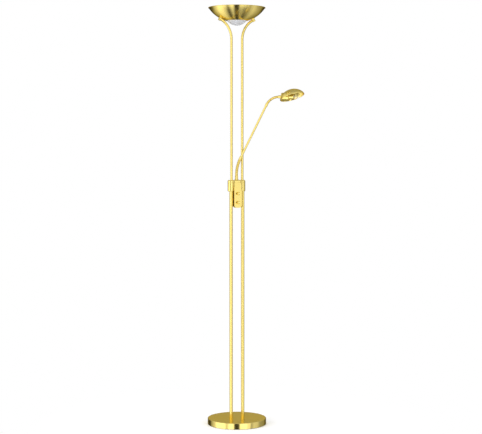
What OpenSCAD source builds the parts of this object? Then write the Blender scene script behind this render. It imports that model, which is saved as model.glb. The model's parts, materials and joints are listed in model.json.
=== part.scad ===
// Reading floor lamp: an uplighter bowl on two slim poles, with a flexible reading arm between them.
// Millimetres. The origin is the centre of the base's underside, on the floor. +Z is up, +X runs from
// the left pole to the right one, and -Y is the front, where the two dimmer knobs are.

/* [Base] */
// Diameter of the round base
base_d = 254; // [220:1:320]
// Height of the base above the floor
base_h = 27; // [24:1:45]
// Wall of the spun base cover
base_wall = 1.5; // [0.8:0.1:2.5]
// Rounding of the cover's top edge
base_edge_r = 3; // [2.5:0.5:6]
// Thickness of the felt under the base
felt_t = 2.5; // [1.5:0.5:4]
// Height of the cover's lower edge above the floor
cover_lift = 1.5; // [1:0.5:3]

/* [Poles] */
// Diameter of the lower poles
lower_pole_d = 14.5; // [12:0.1:16]
// Wall of the lower poles
lower_pole_wall = 1.5; // [1:0.1:2.5]
// Distance between the lower poles' centre lines
lower_pole_gap = 55; // [50:0.5:65]
// Diameter of the upper poles
upper_pole_d = 10.8; // [9:0.1:12]
// Wall of the upper poles
upper_pole_wall = 1.2; // [0.8:0.1:2]
// Distance between the upper poles' centre lines
upper_pole_gap = 50.5; // [46:0.5:60]
// Length of each upper pole's straight end, past its bend
pole_tail = 5.4; // [3:0.1:8]
// Depth that each pole reaches into the joint bracket
pole_depth = 22; // [15:1:23]

/* [Joint bracket] */
// Height of the bracket's underside above the floor
bracket_z = 1011.5; // [850:0.5:1150]
// Height of the bracket with its cap
bracket_h = 49.5; // [48:0.5:60]
// Height of the cap that closes the bracket
cap_h = 11; // [9:0.5:15]
// Half depth of the bracket, and radius of its round ends
bracket_r = 12.8; // [12.5:0.1:16]
// Distance of the bracket's middle plane behind the poles
bracket_back = 4; // [3:0.1:4.2]
// Rounding of the bracket's top and bottom edges
bracket_edge_r = 4.5; // [2:0.5:6]

/* [Dimmer housing] */
// Width of the dimmer housing
housing_w = 35.4; // [34:0.2:38]
// Width of the housing's front tongue at its top end
tongue_w = 30; // [24:0.5:32]
// Distance that the housing hangs below the bracket
housing_drop = 70; // [66:1:90]
// Distance of the housing's front face in front of the poles
housing_front = 13.3; // [12.5:0.1:16]
// Distance of the housing's back face behind the poles
housing_rear = 9; // [8:0.5:12]
// Radius of the housing's two lower corners
housing_corner_r = 13; // [8:0.5:15]
// Wall of the housing
housing_wall = 1.6; // [1.2:0.1:2.4]
// Diameter of a dimmer knob
knob_d = 15; // [12:0.5:18]
// Length of a dimmer knob
knob_len = 8; // [6:0.5:12]
// Distance of the upper knob's axis below the bracket
knob_drop = 8.5; // [8:0.5:12]
// Distance between the two knobs' axes
knob_gap = 39; // [34:0.5:44]
// Diameter of a dimmer spindle
spindle_d = 6; // [4:0.5:6]

/* [Reading arm] */
// Direction of the arm, turned from +X towards the front
arm_turn = 38; // [38:1:142]
// Diameter of the lower flexible neck
low_neck_d = 12; // [11.5:0.1:12]
// Distance between two pivots of the lower neck
low_pitch = 12; // [11:0.5:16]
// Bend of the whole lower neck, from upright
low_bend = 26.7; // [0:0.1:60]
// Height of the lower neck's first pivot above the bracket
foot_len = 28; // [24:0.5:40]
// Diameter of the straight rod
rod_d = 9; // [7:0.1:9]
// Distance between the pivots at the rod's two ends
rod_len = 271; // [150:1:400]
// Diameter of the upper flexible neck
up_neck_d = 10; // [9.6:0.1:11]
// Distance between two pivots of the upper neck
up_pitch = 11; // [10:0.5:14]
// Bend of the whole upper neck
up_bend = 63.3; // [0:0.1:75]
// Diameter of the ball in each neck pivot
ball_d = 6.8; // [6.4:0.1:6.8]

/* [Reading head] */
// Diameter of the lamp barrel
barrel_d = 34; // [30:0.5:38]
// Length of the lamp barrel
barrel_len = 34; // [28:0.5:40]
// Diameter of the snout that holds the bulb socket
snout_d = 23.4; // [20:0.2:25]
// Length of the snout
snout_len = 20; // [15:0.5:24]
// Diameter of the shade's rim
shade_d = 107; // [100:0.5:120]
// Height of the shade over its rim
shade_h = 33.5; // [30:0.5:40]
// Sheet thickness of the shade
shade_wall = 1; // [0.8:0.1:1.6]
// Tilt of the shade's rim, raised at the far end
shade_tilt = 17.8; // [12:0.1:20]
// Roll of the head about its own axis, which lifts the near side of the shade's rim
head_roll = 9; // [0:1:20]
// Diameter of the capsule bulb
bulb_d = 14; // [12:0.5:18]
// Length of the capsule bulb that stands out of its snout
bulb_len = 25; // [20:0.5:30]

/* [Bowl] */
// Height of the bowl's rim above the floor
lamp_h = 1800; // [1500:1:2000]
// Diameter of the bowl's rim
bowl_d = 246; // [240:1:300]
// Depth of the bowl, from its rim to its lower opening
bowl_depth = 56; // [52:0.5:62]
// Radius of the bowl's curved side
bowl_curve_r = 134; // [125:1:150]
// Diameter of the bowl's lower opening
bowl_open_d = 93; // [86:0.5:96]
// Sheet thickness of the bowl
bowl_wall = 1.2; // [0.8:0.1:1.6]
// Diameter of the bead along the bowl's rim
bead_d = 3; // [2:0.2:4]
// Depth of the glass dish below the bowl
dish_drop = 20.7; // [15:0.1:26]
// Thickness of the glass dish
dish_t = 3; // [2:0.5:4]
// Diameter of the turned studs that carry the bowl
stud_d = 13.5; // [13:0.5:16]
// Length of these studs
stud_len = 14; // [13.5:0.5:18]
// Direction of the studs, turned outwards from straight down
stud_lean = 29; // [27:0.5:31]
// Length of the halogen tube over its two ends
tube_len = 118; // [100:1:118]
// Diameter of the halogen tube
tube_d = 10; // [8:0.5:12]

/* [Hidden] */
$fn = 64;

// Clearances: a loose gap, a running fit on the radius, and a seated fit on the radius
gap = 0.3;
run_fit = 0.05;
seat_fit = 0.05;
// Overlap that makes two shapes of one piece into one solid, or a cut reach past a face
weld = 0.5;
// A difference in size that is too small to show
hair = 0.1;

brass = "#d0b765";
steel = "#b9bcc0";
iron = "#4a4a4c";
ceramic = "#ece8dc";
dark_plastic = "#2b2b2d";
glass_tint = "#dfe3e6";

// Sides: -1 is the left pole's side, and +1 the right pole's
sides = [-1, 1];

// A cylinder along +Z between two heights
module post(d, z0, z1) {
    translate([0, 0, z0]) cylinder(d = d, h = z1 - z0);
}

// A cylinder along +Y between two depths
module pin_y(d, y0, y1) {
    translate([0, y0, 0]) rotate([-90, 0, 0]) cylinder(d = d, h = y1 - y0);
}

// A tube along +Z, with the cut running past both ends
module pipe(d, bore, z0, z1) {
    difference() {
        post(d, z0, z1);
        post(bore, z0 - weld, z1 + weld);
    }
}

// A hexagon nut round the Z axis
module hex_nut(across, bore, z0, z1) {
    difference() {
        translate([0, 0, z0]) cylinder(d = across / cos(30), h = z1 - z0, $fn = 6);
        post(bore, z0 - weld, z1 + weld);
    }
}

// Points of an arc round a centre, from one angle to another, counted from +X
function arc(centre, r, from, to, steps) = [
    for (i = [0 : steps]) let (a = from + (to - from) * i / steps) centre + r * [cos(a), sin(a)]];

// Base

stud_thread_d = 10;
stud_bore = 6;
washer_d = 22;
washer_t = 2;
nut_across = 17;
nut_t = 8;
// Room under the nuts
nut_room = 2;
// The lead's channel in the underside of the weight
channel_w = 14;
channel_h = 12;
channel_mid_z = felt_t + channel_h / 2;
base_inner_r = base_d / 2 - base_wall;
weight_top = base_h - base_wall;
nut_pocket_top = felt_t + nut_room + nut_t + washer_t;

module felt_pad() {
    color("#3a3a3a") post(base_d - 2 * base_wall - 2 * gap, 0, felt_t);
}

module base_weight() {
    color(iron) difference() {
        post(2 * (base_inner_r - gap), felt_t, weight_top);
        // The cast edge is cut back under the cover's rounded edge
        difference() {
            post(base_d, weight_top - base_edge_r, base_h);
            translate([0, 0, weight_top - base_edge_r - weld])
                cylinder(r = base_inner_r - base_edge_r, h = base_edge_r + base_wall + 2 * weld);
        }
        for (side = sides) translate([side * lower_pole_gap / 2, 0, 0]) {
            post(stud_thread_d + 2 * gap, 0, base_h);
            post(washer_d + 2 * gap, 0, nut_pocket_top);
        }
        // The channel runs from the grommet at the back to the left pole's pocket
        translate([-lower_pole_gap / 2 - channel_w / 2, 0, felt_t - weld])
            cube([channel_w, base_d / 2, channel_h + weld]);
    }
}

module base_cover() {
    edge = concat(
        [[0, base_h - base_wall], [0, base_h]],
        arc([base_d / 2 - base_edge_r, base_h - base_edge_r], base_edge_r, 90, 0, 8),
        [[base_d / 2, cover_lift], [base_inner_r, cover_lift]],
        arc([base_d / 2 - base_edge_r, base_h - base_edge_r], base_edge_r - base_wall, 0, 90, 8));
    color(brass) difference() {
        rotate_extrude($fn = 128) polygon(edge);
        for (side = sides) translate([side * lower_pole_gap / 2, 0, 0])
            post(stud_thread_d + 2 * gap, base_h - base_wall - weld, base_h + weld);
        at_grommet() pin_y(grommet_neck_d + 2 * seat_fit, -2 * base_wall, weld);
    }
}

// The grommet stands square to the cover's wall, behind the left pole
grommet_bore = 7;
grommet_neck_d = 9.4;
grommet_flange_d = 13;
grommet_flange_t = 3;
grommet_inner = 7;
grommet_turn = asin(lower_pole_gap / base_d);

// Places a piece on the cover's wall: +Y points outwards
module at_grommet() {
    rotate([0, 0, grommet_turn]) translate([0, base_d / 2, channel_mid_z]) children();
}

module cord_grommet() {
    color(dark_plastic) at_grommet() difference() {
        union() {
            pin_y(grommet_neck_d, -grommet_inner, grommet_flange_t);
            pin_y(grommet_flange_d, 0, grommet_flange_t);
        }
        pin_y(grommet_bore, -grommet_inner - weld, grommet_flange_t + weld);
    }
}

plug_len = 30;
// The studs stop this far below the plugs' upper ends
stud_short = 5;

module pole_studs() {
    color(steel) for (side = sides) translate([side * lower_pole_gap / 2, 0, 0])
        pipe(stud_thread_d, stud_bore, felt_t + nut_room / 2, base_h + plug_len - stud_short);
}

module pole_nuts() {
    nut_top = nut_pocket_top - washer_t;
    color(steel) for (side = sides) translate([side * lower_pole_gap / 2, 0, 0])
        hex_nut(nut_across, stud_thread_d + 2 * seat_fit, nut_top - nut_t, nut_top);
}

module pole_washers() {
    color(steel) for (side = sides) translate([side * lower_pole_gap / 2, 0, 0])
        pipe(washer_d, stud_thread_d + 2 * seat_fit, nut_pocket_top - washer_t, nut_pocket_top);
}

lower_bore = lower_pole_d - 2 * lower_pole_wall;
plug_d = lower_bore - 2 * seat_fit;

module pole_plugs() {
    color(steel) for (side = sides) translate([side * lower_pole_gap / 2, 0, 0])
        pipe(plug_d, stud_thread_d + 2 * seat_fit, base_h, base_h + plug_len);
}

// Poles

module lower_pole(side) {
    color(brass) translate([side * lower_pole_gap / 2, 0, 0])
        pipe(lower_pole_d, lower_bore, base_h, bracket_z + pole_depth);
}

module lower_pole_left() { lower_pole(-1); }
module lower_pole_right() { lower_pole(1); }

// The bowl's side is an arc from its lower opening to the middle of its rim bead
bead_r = bead_d / 2;
open_pt = [bowl_open_d / 2, lamp_h - bowl_depth];
rim_pt = [bowl_d / 2 - bead_r, lamp_h - bead_r];
chord = rim_pt - open_pt;
chord_len = norm(chord);
bowl_centre = (open_pt + rim_pt) / 2
    + sqrt(pow(bowl_curve_r, 2) - pow(chord_len / 2, 2)) * [-chord[1], chord[0]] / chord_len;
open_angle = atan2(open_pt[1] - bowl_centre[1], open_pt[0] - bowl_centre[0]);
rim_angle = atan2(rim_pt[1] - bowl_centre[1], rim_pt[0] - bowl_centre[0]);

// A stud leaves the bowl square to its side. The pole's end crosses the stud at stud_reach,
// with a neck of the stud left between the pole and the bowl.
stud_neck = 1.6;
stud_dir = [sin(stud_lean), -cos(stud_lean)];
wall_dir = [cos(stud_lean), sin(stud_lean)];
stud_root = bowl_centre + bowl_curve_r * stud_dir;
stud_reach = upper_pole_d / 2 + stud_neck;
pole_end = stud_root + stud_reach * stud_dir;
pole_turn = 90 - stud_lean;
// The bend spreads the poles from their gap in the bracket to the straight ends in the studs
bend_end_x = pole_end[0] - pole_tail * wall_dir[0];
pole_bend_r = (bend_end_x - upper_pole_gap / 2) / (1 - cos(pole_turn));
bend_z = pole_end[1] - pole_tail * wall_dir[1] - pole_bend_r * sin(pole_turn);
upper_pole_z = bracket_z + bracket_h - pole_depth;

// The pole's path as a solid round bar. The bend is a hair thicker than the straight stretches,
// which run a little way into it, so that no two of their faces lie in each other.
module upper_bar(d, spare) {
    translate([upper_pole_gap / 2, 0, 0]) post(d, upper_pole_z - spare, bend_z + weld);
    translate([upper_pole_gap / 2 + pole_bend_r, 0, bend_z]) rotate([90, 180, 0]) {
        rotate_extrude(angle = -pole_turn) translate([pole_bend_r, 0]) circle(d = d + hair);
        rotate([0, 0, -pole_turn]) translate([pole_bend_r, 0, 0]) rotate([90, 0, 0])
            post(d, -weld, pole_tail + spare);
    }
}

module upper_pole(side) {
    color(brass) mirror([side < 0 ? 1 : 0, 0, 0]) difference() {
        upper_bar(upper_pole_d, 0);
        upper_bar(upper_pole_d - 2 * upper_pole_wall, weld);
    }
}

module upper_pole_left() { upper_pole(-1); }
module upper_pole_right() { upper_pole(1); }

// Joint bracket

bracket_top = bracket_z + bracket_h;
cap_z = bracket_top - cap_h;
cap_seam = 0.6;
// The seam under the cap is a groove of this depth
seam_depth = 1.2;
cavity_w = 19;
cavity_wall = 3;
// The leads' passage from the poles' ends into the cavity reaches this far into the poles' holes
passage_lap = 1;
passage_d = bracket_h - 2 * (pole_depth - passage_lap);
screw_x = 15;
screw_y = 9;
screw_d = 4;
screw_head_d = 7;
screw_head_t = 4;
// Height of the cap screws' seats over the bracket's underside, and the brass left above them
screw_seat = 8;
screw_cover = 3;
grub_d = 4;
// Distance of the grub screws from the bracket's two ends
grub_inset = [12, 17];
arm_hole_d = 8;

// A round-ended slab between two heights, with its top or bottom edge rounded
module round_slab(z0, z1, round_low, round_high) {
    r = bracket_r;
    e = bracket_edge_r;
    low = round_low ? arc([r - e, z0 + e], e, -90, 0, 6) : [[r, z0]];
    high = round_high ? arc([r - e, z1 - e], e, 0, 90, 6) : [[r, z1]];
    half = concat([[0, z0]], low, high, [[0, z1]]);
    whole = concat(low, high, [for (i = [len(high) - 1 : -1 : 0]) [-high[i][0], high[i][1]]],
        [for (i = [len(low) - 1 : -1 : 0]) [-low[i][0], low[i][1]]]);
    translate([0, bracket_back, 0]) {
        for (side = sides) translate([side * lower_pole_gap / 2, 0, 0]) rotate_extrude() polygon(half);
        rotate([90, 0, 90]) linear_extrude(height = lower_pole_gap, center = true) polygon(whole);
    }
}

// A round-ended slab with plain edges
module plain_slab(r, z0, z1) {
    translate([0, bracket_back, 0]) {
        for (side = sides) translate([side * lower_pole_gap / 2, 0, 0]) post(2 * r, z0, z1);
        translate([-lower_pole_gap / 2, -r, z0]) cube([lower_pole_gap, 2 * r, z1 - z0]);
    }
}

module bracket_body() {
    color(brass) difference() {
        round_slab(bracket_z, cap_z - cap_seam, true, false);
        for (side = sides) {
            translate([side * lower_pole_gap / 2, 0, 0])
                post(lower_pole_d + 2 * seat_fit, bracket_z - weld, bracket_z + pole_depth);
            translate([side * upper_pole_gap / 2, 0, 0])
                post(upper_pole_d + 2 * seat_fit, upper_pole_z, cap_z);
            translate([side * screw_x, screw_y, 0]) {
                post(screw_d + 2 * gap, bracket_z - weld, cap_z);
                post(screw_head_d + 2 * gap, bracket_z - weld, bracket_z + screw_seat);
            }
            translate([side * top_screw_x, 0, 0])
                post(top_screw_d + 2 * seat_fit, bracket_z - weld, bracket_z + top_screw_in + 1);
            // Grub screws clamp both poles from the back
            translate([side * lower_pole_gap / 2, 0, grub_heights[0]])
                pin_y(grub_d + 2 * seat_fit, 0, bracket_back + bracket_r + weld);
            translate([side * upper_pole_gap / 2, 0, grub_heights[1]])
                pin_y(grub_d + 2 * seat_fit, 0, bracket_back + bracket_r + weld);
        }
        translate([0, 0, (bracket_z + bracket_top) / 2]) rotate([0, 90, 0])
            cylinder(d = passage_d, h = lower_pole_gap, center = true);
        // The middle is open for the leads and for the arm's nut
        translate([-cavity_w / 2, bracket_back - bracket_r + cavity_wall, bracket_z - weld])
            cube([cavity_w, 2 * (bracket_r - cavity_wall), bracket_h]);
    }
}

// Heights of the grub screws: one on each lower pole, and one on each upper pole
grub_heights = [bracket_z + grub_inset[0], bracket_top - grub_inset[1]];

grub_end = bracket_back + bracket_r - 1;

module grub_screws() {
    color(steel) for (side = sides) {
        translate([side * lower_pole_gap / 2, 0, grub_heights[0]])
            pin_y(grub_d, lower_pole_d / 2 + gap, grub_end);
        translate([side * upper_pole_gap / 2, 0, grub_heights[1]])
            pin_y(grub_d, upper_pole_d / 2 + gap, grub_end);
    }
}

cap_low = cap_z - cap_seam;

module bracket_cap() {
    color(brass) difference() {
        union() {
            round_slab(cap_z, bracket_top, false, true);
            plain_slab(bracket_r - seam_depth, cap_z - cap_seam, cap_z + weld);
        }
        for (side = sides) {
            translate([side * upper_pole_gap / 2, 0, 0])
                post(upper_pole_d + 2 * seat_fit, cap_low - weld, bracket_top + weld);
            translate([side * screw_x, screw_y, 0])
                post(screw_d + 2 * seat_fit, cap_low - weld, bracket_top - screw_cover);
        }
        translate([0, bracket_back, 0]) post(arm_hole_d + 2 * run_fit, cap_low - weld, bracket_top + weld);
    }
}

module cap_screws() {
    color(steel) for (side = sides) translate([side * screw_x, screw_y, 0]) {
        post(screw_d, bracket_z + screw_seat - weld, bracket_top - screw_cover - 1);
        post(screw_head_d, bracket_z + screw_seat - screw_head_t, bracket_z + screw_seat);
    }
}

// Dimmer housing

housing_z = bracket_z - housing_drop;
housing_top = bracket_z - gap;
tongue_top = cap_z - cap_seam - gap;
tongue_front = bracket_r - bracket_back + 1;
tongue_back = bracket_r - bracket_back + gap / 2;
knob_heights = [bracket_z - knob_drop, bracket_z - knob_drop - knob_gap];
pot_size = 12;
pot_depth = 9;
// Wall of a potentiometer behind the end of its spindle
pot_floor = 2;
board_w = 20;
board_t = 1.6;
// Reach of the board below the lower spindle and above the upper one
board_reach = [11, 6];
back_t = 1.5;
// Blocks inside the housing that take the back cover's screws
block_d = 6;
block_mid_z = (knob_heights[0] + knob_heights[1]) / 2;
block_screw_x = housing_w / 2 - housing_wall - 2;
back_screw_d = 2.5;
back_screw_in = 7;
back_head_d = 4;
back_head_t = 1.2;
// Screws that hold the housing up under the bracket
top_screw_x = 13;
top_screw_d = 3;
top_screw_in = 7;
top_head_d = 5.5;
top_head_t = 2.5;
lead_hole_d = 7;
lead_hole_y = 2;

// Front view of the housing, shrunk by a margin, up to a height
module housing_outline(margin, top) {
    half = housing_w / 2 - margin;
    corner = housing_corner_r - margin;
    low = housing_z + margin;
    for (side = sides) translate([side * (half - corner), low + corner]) circle(r = corner);
    translate([-(half - corner), low]) square([2 * (half - corner), corner + weld]);
    translate([-half, low + corner]) square([2 * half, top - low - corner]);
}

// Turns a drawing of x and z into a slab between two depths
module slab_y(y0, y1) {
    translate([0, y1, 0]) rotate([90, 0, 0]) linear_extrude(height = y1 - y0) children();
}

module dimmer_housing() {
    color(brass) difference() {
        union() {
            slab_y(-housing_front, housing_rear) housing_outline(0, housing_top);
            // The tongue leans back and narrows until it lies on the bracket
            intersection() {
                slab_y(-housing_front, -tongue_back) polygon([
                    [-housing_w / 2, housing_top - weld], [housing_w / 2, housing_top - weld],
                    [housing_w / 2, bracket_z], [tongue_w / 2, tongue_top],
                    [-tongue_w / 2, tongue_top], [-housing_w / 2, bracket_z]]);
                rotate([90, 0, 90]) linear_extrude(height = housing_w, center = true) polygon([
                    [-housing_front, housing_top - 2], [-tongue_back, housing_top - 2],
                    [-tongue_back, tongue_top], [-tongue_front, tongue_top], [-housing_front, bracket_z]]);
            }
        }
        difference() {
            slab_y(-housing_front + housing_wall, housing_rear + weld)
                housing_outline(housing_wall, housing_top - housing_wall);
            // Blocks for the back cover's screws
            for (side = sides) translate([side * housing_w / 2 - block_d, 0, block_mid_z - block_d / 2])
                cube([2 * block_d, housing_rear - back_t, block_d]);
        }
        for (z = knob_heights) translate([0, 0, z])
            pin_y(spindle_d + 2 * gap, -housing_front - weld, -housing_front + housing_wall + weld);
        for (side = sides) {
            translate([side * block_screw_x, 0, block_mid_z])
                pin_y(back_screw_d + 2 * seat_fit, housing_rear - back_screw_in - weld, housing_rear);
            translate([side * top_screw_x, 0, 0])
                post(top_screw_d + 2 * gap, housing_top - 2 * housing_wall, housing_top + weld);
        }
        // Leads pass up into the bracket here
        translate([0, lead_hole_y, 0]) post(lead_hole_d, housing_top - 2 * housing_wall, housing_top + weld);
    }
}

module housing_back() {
    color(brass) difference() {
        slab_y(housing_rear - back_t, housing_rear)
            housing_outline(housing_wall + gap, housing_top - housing_wall - gap);
        for (side = sides) translate([side * block_screw_x, 0, block_mid_z])
            pin_y(back_screw_d + 2 * seat_fit, housing_rear - back_t - weld, housing_rear + weld);
    }
}

module housing_screws() {
    color(steel) for (side = sides) translate([side * top_screw_x, 0, 0]) {
        post(top_screw_d, housing_top - housing_wall - weld, bracket_z + top_screw_in);
        post(top_head_d, housing_top - housing_wall - top_head_t, housing_top - housing_wall);
    }
}

module back_screws() {
    color(steel) for (side = sides) translate([side * block_screw_x, 0, block_mid_z]) {
        pin_y(back_screw_d, housing_rear - back_screw_in, housing_rear + weld);
        pin_y(back_head_d, housing_rear, housing_rear + back_head_t);
    }
}

pot_front = -housing_front + housing_wall;

module potentiometers() {
    color(dark_plastic) for (z = knob_heights) translate([0, 0, z]) difference() {
        translate([-pot_size / 2, pot_front, -pot_size / 2]) cube([pot_size, pot_depth, pot_size]);
        pin_y(spindle_d + 2 * run_fit, pot_front - weld, pot_front + pot_depth - pot_floor);
    }
}

module dimmer_board() {
    color("#1f6b3a") translate([-board_w / 2, pot_front + pot_depth, knob_heights[1] - board_reach[0]])
        cube([board_w, board_t, knob_gap + board_reach[0] + board_reach[1]]);
}

knob_tip = -housing_front - gap - knob_len;
knob_edge_r = 1;
// Brass in front of the end of the spindle
knob_skin = 2;

module dimmer_knob(z) {
    r = knob_d / 2;
    e = knob_edge_r;
    color(brass) translate([0, knob_tip, z]) rotate([-90, 0, 0]) difference() {
        rotate_extrude() polygon(concat(
            [[0, 0]], arc([r - e, e], e, -90, 0, 5), [[r, knob_len], [0, knob_len]]));
        post(spindle_d + 2 * seat_fit, knob_skin, knob_len + weld);
    }
}

module dimmer_spindle(z) {
    color(steel) translate([0, 0, z])
        pin_y(spindle_d, knob_tip + knob_skin + gap, pot_front + pot_depth - pot_floor - gap);
}

module upper_knob() { dimmer_knob(knob_heights[0]); }
module upper_spindle() { dimmer_spindle(knob_heights[0]); }
module lower_knob() { dimmer_knob(knob_heights[1]); }
module lower_spindle() { dimmer_spindle(knob_heights[1]); }

// Reading arm: two necks of ball links, with a straight rod between them

pivot_count = 6;
low_step = low_bend / pivot_count;
up_step = up_bend / pivot_count;
ball_r = ball_d / 2;
socket_r = ball_r + gap;
socket_mouth = 1.7;
neck_r = 2.1;
link_gap = 0.7;
lead_r = 1.2;
// Slope of the faces between two links, which leaves room for the bend
face_slope = tan(6);
// Ribs of the neck's metal winding: their depth, their number on a link, and the outline of one,
// as shares of its length and depth
rib_depth = 0.7;
ribs_per_link = 4;
rib_outline = [[0.12, 1], [0.3, 0], [0.7, 0], [0.88, 1]];

function ahead(len, tilt) = len * [sin(tilt), cos(tilt)];
// Pivots in the arm's plane: distance from the arm's foot, and height
function low_pivot(k) = k == 1 ? [0, bracket_top + foot_len]
    : low_pivot(k - 1) + ahead(low_pitch, (k - 1) * low_step);
function up_pivot(k) = k == 1 ? low_pivot(pivot_count) + ahead(rod_len, low_bend)
    : up_pivot(k - 1) + ahead(up_pitch, low_bend + (k - 1) * up_step);

// Places a piece in the arm's plane, leaning outwards from upright
module on_arm(pivot, tilt) {
    translate([0, bracket_back, 0]) rotate([0, 0, -arm_turn])
        translate([pivot[0], 0, pivot[1]]) rotate([0, tilt, 0]) children();
}

function face_rise(r) = (r - neck_r) * face_slope;
face_low = socket_mouth + link_gap;

// Outline of a ball below a body, up to the body's own outer radius
function ball_end(r) = concat(
    arc([0, 0], ball_r, -acos(lead_r / ball_r), acos(neck_r / ball_r), 10),
    [[neck_r, face_low], [r, face_low + face_rise(r)]]);

// Outline of a body with a socket whose centre is at height z
function socket_end(r, z) = concat(
    [[r, z + socket_mouth - face_rise(r)]],
    arc([0, z], socket_r, asin(socket_mouth / socket_r), -acos(lead_r / socket_r), 10));

// Ribs of the neck's metal winding between two heights
function ribs(r, z0, z1, count) = [
    for (i = [0 : count - 1], p = rib_outline)
        [r - p[1] * rib_depth, z0 + (z1 - z0) * (i + p[0]) / count]];

module flex_link(d, pitch) {
    r = d / 2;
    low = face_low + face_rise(r - rib_depth);
    high = pitch + socket_mouth - face_rise(r - rib_depth);
    color(brass) rotate_extrude($fn = 48) polygon(concat(
        ball_end(r - rib_depth), ribs(r, low, high, ribs_per_link), socket_end(r - rib_depth, pitch)));
}

module lower_link(k) { on_arm(low_pivot(k), k * low_step) flex_link(low_neck_d, low_pitch); }
module upper_link(k) { on_arm(up_pivot(k), low_bend + k * up_step) flex_link(up_neck_d, up_pitch); }
module lower_link_1() { lower_link(1); }
module lower_link_2() { lower_link(2); }
module lower_link_3() { lower_link(3); }
module lower_link_4() { lower_link(4); }
module lower_link_5() { lower_link(5); }
module upper_link_1() { upper_link(1); }
module upper_link_2() { upper_link(2); }
module upper_link_3() { upper_link(3); }
module upper_link_4() { upper_link(4); }
module upper_link_5() { upper_link(5); }

foot_flange_d = 17;
foot_flange_t = 3;
foot_bottom = -foot_len + gap;
// Length of the foot's ribbed collar, and the step from the foot's sleeve down to it
collar_len = 8.5;
collar_step = 0.7;
arm_washer_d = 15;
arm_washer_t = 1.2;
arm_nut_across = 13;
arm_nut_t = 6.5;
washer_low = -foot_len - cap_h - cap_seam - gap - arm_washer_t;
spindle_low = washer_low - arm_nut_t - 2;

// The foot's spindle passes down through the bracket's cap
module arm_foot() {
    r = low_neck_d / 2;
    color(brass) on_arm(low_pivot(1), 0) rotate_extrude() polygon(concat(
        [[lead_r, spindle_low], [arm_hole_d / 2, spindle_low], [arm_hole_d / 2, foot_bottom],
         [foot_flange_d / 2, foot_bottom], [foot_flange_d / 2, foot_bottom + foot_flange_t - 1],
         [foot_flange_d / 2 - 1, foot_bottom + foot_flange_t],
         [r + collar_step, foot_bottom + foot_flange_t]],
        [[r + collar_step, -collar_len - 2 * collar_step], [r, -collar_len - collar_step]],
        ribs(r, -collar_len, socket_mouth - face_rise(r), ribs_per_link),
        socket_end(r - rib_depth, 0)));
}

module arm_washer() {
    color(steel) on_arm(low_pivot(1), 0)
        pipe(arm_washer_d, arm_hole_d + 2 * seat_fit, washer_low, washer_low + arm_washer_t);
}

module arm_nut() {
    color(steel) on_arm(low_pivot(1), 0)
        hex_nut(arm_nut_across, arm_hole_d + 2 * seat_fit, washer_low - arm_nut_t, washer_low);
}

// Length of the sleeves that the rod's ends sit in, and the height of the seats above the pivots
sleeve_len = 14;
rod_seat = 9;
rod_wall = 1;

module rod_ferrule_lower() {
    r = low_neck_d / 2;
    high = face_low + sleeve_len;
    color(brass) on_arm(low_pivot(pivot_count), low_bend) rotate_extrude() polygon(concat(
        ball_end(r), [[r, high - 2], [r - 1, high], [rod_d / 2 + seat_fit, high],
        [rod_d / 2 + seat_fit, rod_seat - gap], [lead_r, rod_seat - gap]]));
}

module arm_rod() {
    color(brass) on_arm(low_pivot(pivot_count), low_bend)
        pipe(rod_d, rod_d - 2 * rod_wall, rod_seat, rod_len - rod_seat);
}

module rod_ferrule_upper() {
    r = up_neck_d / 2 + collar_step;
    color(brass) on_arm(up_pivot(1), low_bend) rotate_extrude() polygon(concat(
        [[lead_r, -rod_seat + gap], [rod_d / 2 + seat_fit, -rod_seat + gap],
         [rod_d / 2 + seat_fit, -sleeve_len - 1], [r - 0.5, -sleeve_len - 1], [r, -sleeve_len]],
        socket_end(r, 0)));
}

// Reading head

head_pivot = up_pivot(pivot_count);
head_tilt = low_bend + up_bend;
ferrule_end = 16.8;
ferrule_d = 12;
ferrule_flare = 1.6;
bolt_d = 8;
bolt_seat = 8;
bolt_flange_d = 14;
bolt_across = 13;
bolt_head_t = 5;
barrel_x = ferrule_end + gap;
barrel_end = barrel_x + barrel_len;
barrel_wall = 2;
barrel_floor = 2.5;
barrel_edge_r = 3.5;
cap_plate_t = 2;
cap_lead_r = 4;
snout_end = barrel_end + snout_len;
snout_wall = 1.5;
socket_len = 17;
socket_depth = 6;
bulb_base_d = 8.4;
bulb_edge_r = 3;

// Places a piece on the head's own axis, along the last stretch of the arm
module on_head() { on_arm(head_pivot, head_tilt) rotate([0, 0, -head_roll]) children(); }

module head_ferrule() {
    r = ferrule_d / 2;
    color(brass) on_head() rotate_extrude() polygon(concat(
        ball_end(up_neck_d / 2), [[r, face_low + ferrule_flare], [r, ferrule_end - 1], [r - 1, ferrule_end],
        [bolt_d / 2 + seat_fit, ferrule_end], [bolt_d / 2 + seat_fit, bolt_seat], [lead_r, bolt_seat]]));
}

// A hollow bolt screws into the ferrule from inside the barrel, which turns on its shank
module swivel_bolt() {
    inside = barrel_x + barrel_floor + gap;
    color(steel) on_head() difference() {
        union() {
            post(bolt_d, bolt_seat + gap, inside + weld);
            post(bolt_flange_d, inside, inside + 1);
            translate([0, 0, inside + 1 - hair])
                cylinder(d = bolt_across / cos(30), h = bolt_head_t - 1, $fn = 6);
        }
        post(2 * lead_r + 2, bolt_seat - weld, inside + bolt_head_t + weld);
    }
}

module head_barrel() {
    r = barrel_d / 2;
    e = barrel_edge_r;
    color(brass) on_head() rotate_extrude($fn = 96) polygon(concat(
        [[bolt_d / 2 + run_fit, barrel_x]], arc([r - e, barrel_x + e], e, -90, 0, 6),
        [[r, barrel_end - 1], [r - 1, barrel_end], [r - barrel_wall, barrel_end],
         [r - barrel_wall, barrel_x + barrel_floor], [bolt_d / 2 + run_fit, barrel_x + barrel_floor]]));
}

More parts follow.
